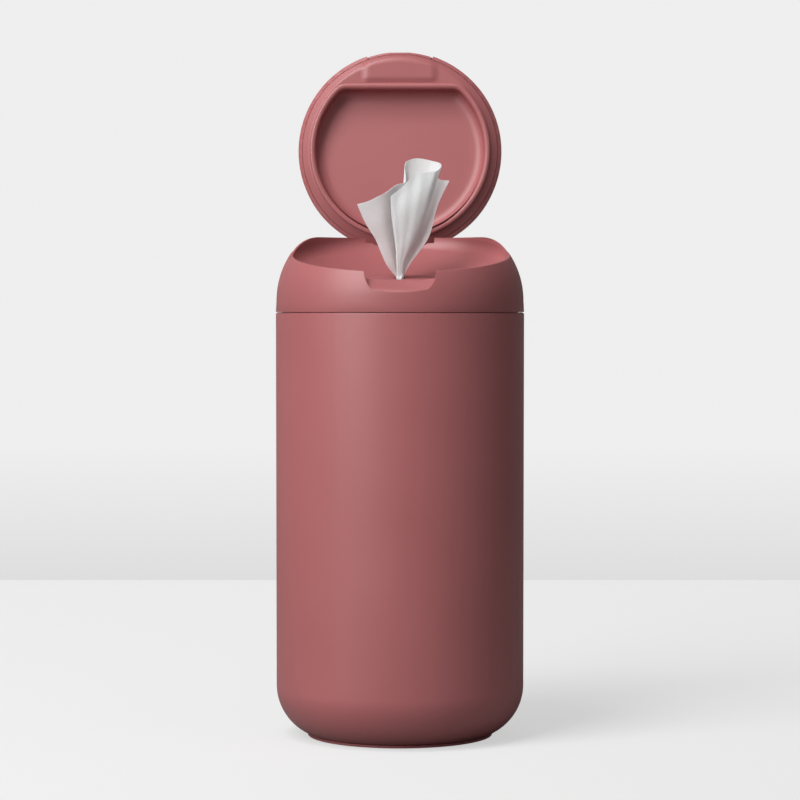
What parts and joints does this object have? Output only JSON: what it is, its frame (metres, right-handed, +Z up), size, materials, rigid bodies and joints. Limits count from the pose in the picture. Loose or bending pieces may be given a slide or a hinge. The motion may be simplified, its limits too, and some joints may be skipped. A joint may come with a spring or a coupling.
{
  "type": "wipes dispenser",
  "caption": "Round wipes dispenser in matte rose plastic with a domed push-fit collar, a hinged lid standing open and a wipe drawn up through the nozzle",
  "frame": {"origin": "on the canister's axis, at the underside of the base pad", "axes": "+Z up along the canister's axis, -Y to the front where the thumb pocket is, +X to the right seen from the front"},
  "size_m": [0.1048, 0.122, 0.2946],
  "materials": {
    "rose_plastic": "fine satin, dusty rose",
    "soft_rose": "soft matte, dusty rose",
    "seal_rubber": "soft matte, off-white",
    "pin_steel": "drawn wire",
    "wipe_cloth": "moist nonwoven, white"
  },
  "bodies": {
    "base": {"base_pad": "soft_rose", "canister": "rose_plastic", "wipe_roll": "wipe_cloth"},
    "closure": {"neck_seal": "seal_rubber", "collar": "rose_plastic", "nozzle": "soft_rose", "hinge_pin": "pin_steel", "leading_wipe": "wipe_cloth"},
    "lid": {"lid_shell": "rose_plastic", "lid_liner": "rose_plastic"}
  },
  "joints": [
    {"name": "collar_lift", "type": "slide", "parent": "base", "child": "closure", "axis": [0, 0, 1], "range_m": [0, 0.05]},
    {"name": "lid_hinge", "type": "hinge", "parent": "closure", "child": "lid", "pos_m": [0, 0.0413, 0.2052], "axis": [1, 0, 0], "range_deg": [0, 105.6], "deforming": ["leading_wipe"]}
  ]
}
